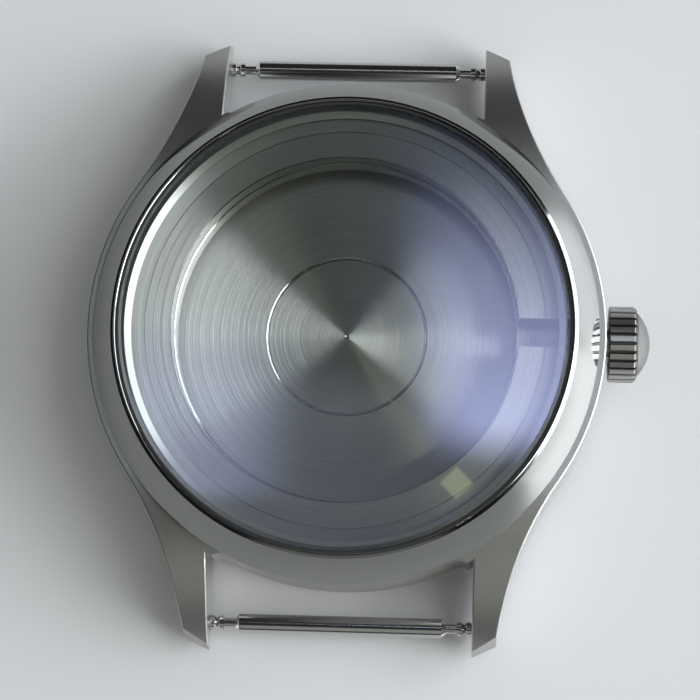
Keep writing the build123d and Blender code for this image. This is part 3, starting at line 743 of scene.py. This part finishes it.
class WATCHCASE_OT_bars(bpy.types.Operator):
    """Finish of the strap bars and their pins, with the springs inside"""

    bl_idname = "watchcase.bars"
    bl_label = "Strap bars"

    def execute(self, context):
        names = [name for name in NODES if name.startswith("bar_") and not name.endswith("_spring")]
        dress(polished_steel("bar_steel", finishes().bar_colour, 0.12), *names)
        wire_steel = polished_steel("bar_wire", finishes().bar_colour, 0.2)
        for bar in ("bar_12", "bar_6"):
            self.add_spring(bar, wire_steel)
        return {"FINISHED"}

    @staticmethod
    def add_spring(bar, wire_steel):
        """Spring of one bar in two halves, each pressed by its own pin."""
        seals = seal_settings()
        low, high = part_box(f"{bar}_spring")
        wire = seals.bar_spring_wire
        place = ((low[1] + high[1]) / 2.0, (low[2] + high[2]) / 2.0)
        radius = (high[2] - low[2] - wire) / 2.0
        for side, share_from, share_to in (("left", 0.0, 0.5), ("right", 0.5, 1.0)):
            shape = coil_mesh(low[0] + wire / 2.0, high[0] - wire / 2.0, place, radius, wire,
                              seals.bar_spring_turns, share_from, share_to)
            half = add_piece(f"{bar}_{side}_coil", shape, wire_steel, bar, f"{bar}_spring")
            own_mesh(half)


# Stage

def make_floor(settings):
    """Plain pale floor that the back of the case lies on.

    It is dull to the camera and glossier to the polished steel.
    """
    half = settings.floor_size / 2
    corners = [(-half, -half, 0.0), (half, -half, 0.0), (half, half, 0.0), (-half, half, 0.0)]
    mesh = bpy.data.meshes.new("floor")
    mesh.from_pydata(corners, [], [(0, 1, 2, 3)])
    floor = bpy.data.objects.new("floor", mesh)
    floor.location.z = -FLOOR_GAP
    bpy.context.scene.collection.objects.link(floor)
    material, tree = new_tree("floor_paper")
    colour = rgb(settings.floor_colour)
    glossy = tree.surface(Base_Color=colour, Roughness=0.28, Specular_IOR_Level=1.0, IOR=1.9)
    dull = tree.surface(Base_Color=colour, Roughness=0.7, Specular_IOR_Level=0.5, IOR=1.5)
    tree.finish(tree.mixed_shaders(tree.ray("Is Camera Ray"), glossy, dull))
    mesh.materials.append(material)


def make_lamps(settings):
    """Large soft window at the right, its curtain and upper parts, and a small warm pane."""
    for name, azimuth, elevation, distance, size, share, colour in LAMPS:
        turn, rise = math.radians(azimuth), math.radians(elevation)
        place = Vector((distance * math.cos(rise) * math.cos(turn),
                        distance * math.cos(rise) * math.sin(turn), distance * math.sin(rise)))
        data = bpy.data.lights.new(name, "AREA")
        data.shape = "RECTANGLE"
        data.size, data.size_y = size
        data.energy = settings.window_power * share
        data.color = colour
        lamp = bpy.data.objects.new(name, data)
        lamp.location = place
        lamp.rotation_euler = (CASE_MIDDLE - place).to_track_quat("-Z", "Y").to_euler()
        bpy.context.scene.collection.objects.link(lamp)


def make_world():
    """Dim room with what the crystal mirrors, two bluish panes and a warm square, and a pale backdrop.

    A lean is how far a direction goes sideways for each metre that it rises.
    """
    world = bpy.data.worlds.new("room")
    bpy.context.scene.world = world
    tree = Tree(world)
    x, y, z = tree.parts(tree.add("ShaderNodeTexCoord", {}, (), "Generated"))
    up = z.at_least(0.05)
    lean_x = x / up
    lean_y = y / up
    skylight = tree.within((lean_x + lean_y * 0.165, -0.012, 0.018), (lean_x, 0.12, 0.09),
                           (lean_y, 0.12, 0.14), (lean_y, 0.27, 0.19))
    skylight = skylight * tree.step(lean_y, 0.24, 0.13, 0.28, 1.6)
    second_pane = tree.within((lean_x, -0.135, -0.125), (lean_x, -0.065, -0.10),
                              (lean_y, 0.105, 0.115), (lean_y, 0.19, 0.15))
    warm_square = tree.step(abs(lean_x + 0.0143) + abs(lean_y - 0.1162), 0.0069, 0.0047)
    ceiling = tree.within((lean_y, 0.16, 0.14), (lean_y, 0.07, 0.09), (lean_x, -0.2, -0.1))
    horizon = tree.step(z, 0.40, 0.05)
    near_side = tree.step(z * 0.68 - y * 0.73, 0.90, 0.97)
    spread = tree.ray("Is Diffuse Ray")
    room = tree.background((0.95, 1.0, 0.93), 0.02 + horizon * 0.04 + near_side * 0.28 + ceiling * 0.75
                           + spread * 0.33)
    sky = tree.background((0.72, 0.80, 1.0), skylight * 4.2 + second_pane * 2.1)
    lamplight = tree.background((0.87, 1.0, 0.33), warm_square * 2.2)
    light = tree.added_shaders(tree.added_shaders(room, sky), lamplight)
    backdrop = tree.background((0.86, 0.86, 0.87), 1.0)
    bounced = tree.ray("Is Glossy Ray") + tree.ray("Is Transmission Ray")
    seen = (tree.ray("Is Camera Ray") + bounced * tree.step(z, 0.10, 0.0)).clamped()
    tree.finish(tree.mixed_shaders(seen, light, backdrop), "ShaderNodeOutputWorld")


def make_camera(settings):
    """Camera nearly overhead, at the photograph's angle."""
    x, y = math.sin(settings.camera_side), -math.sin(settings.camera_tilt)
    away = Vector((x, y, math.sqrt(1.0 - x * x - y * y)))
    place = CASE_MIDDLE + away * settings.camera_distance
    back = (place - CAMERA_AIM).normalized()
    level = Vector((0.0, 1.0, 0.0)).cross(back).normalized()
    turn = Matrix((level, back.cross(level), back)).transposed()
    turn = turn @ Matrix.Rotation(settings.camera_roll, 3, "Z")
    data = bpy.data.cameras.new("camera")
    data.lens = settings.camera_lens
    data.sensor_width = 36.0
    data.clip_start = 0.01
    camera = bpy.data.objects.new("camera", data)
    camera.matrix_world = Matrix.Translation(place) @ turn.to_4x4()
    bpy.context.scene.collection.objects.link(camera)
    bpy.context.scene.camera = camera


class WATCHCASE_OT_stage(bpy.types.Operator):
    """Floor, lamps, room and camera"""

    bl_idname = "watchcase.stage"
    bl_label = "Stage"

    def execute(self, context):
        settings = stage_settings()
        context.scene.view_settings.view_transform = "Standard"
        make_floor(settings)
        make_lamps(settings)
        make_world()
        make_camera(settings)
        return {"FINISHED"}


class WATCHCASE_PT_panel(bpy.types.Panel):
    """Lists what builds the looks of the watch case"""

    bl_idname = "WATCHCASE_PT_panel"
    bl_label = "Watch case"
    bl_space_type = "VIEW_3D"
    bl_region_type = "UI"
    bl_category = "Watch case"

    def draw(self, context):
        for settings in (finishes(), seal_settings(), stage_settings()):
            for name in settings.__annotations__:
                self.layout.prop(settings, name)
        for operator in OPERATORS:
            self.layout.operator(operator.bl_idname)


OPERATORS = (
    WATCHCASE_OT_stage,
    WATCHCASE_OT_middle,
    WATCHCASE_OT_bezel,
    WATCHCASE_OT_crystal,
    WATCHCASE_OT_inside,
    WATCHCASE_OT_back,
    WATCHCASE_OT_crown,
    WATCHCASE_OT_bars,
)
CLASSES = (FinishSettings, SealSettings, StageSettings, *OPERATORS, WATCHCASE_PT_panel)


def register():
    for cls in CLASSES:
        bpy.utils.register_class(cls)
    bpy.types.Scene.watch_case_finishes = bpy.props.PointerProperty(type=FinishSettings)
    bpy.types.Scene.watch_case_seals = bpy.props.PointerProperty(type=SealSettings)
    bpy.types.Scene.watch_case_stage = bpy.props.PointerProperty(type=StageSettings)


def unregister():
    del bpy.types.Scene.watch_case_stage
    del bpy.types.Scene.watch_case_seals
    del bpy.types.Scene.watch_case_finishes
    for cls in reversed(CLASSES):
        bpy.utils.unregister_class(cls)


def main():
    register()
    for operator in OPERATORS:
        group, name = operator.bl_idname.split(".")
        getattr(getattr(bpy.ops, group), name)()


if __name__ == "__main__":
    main()
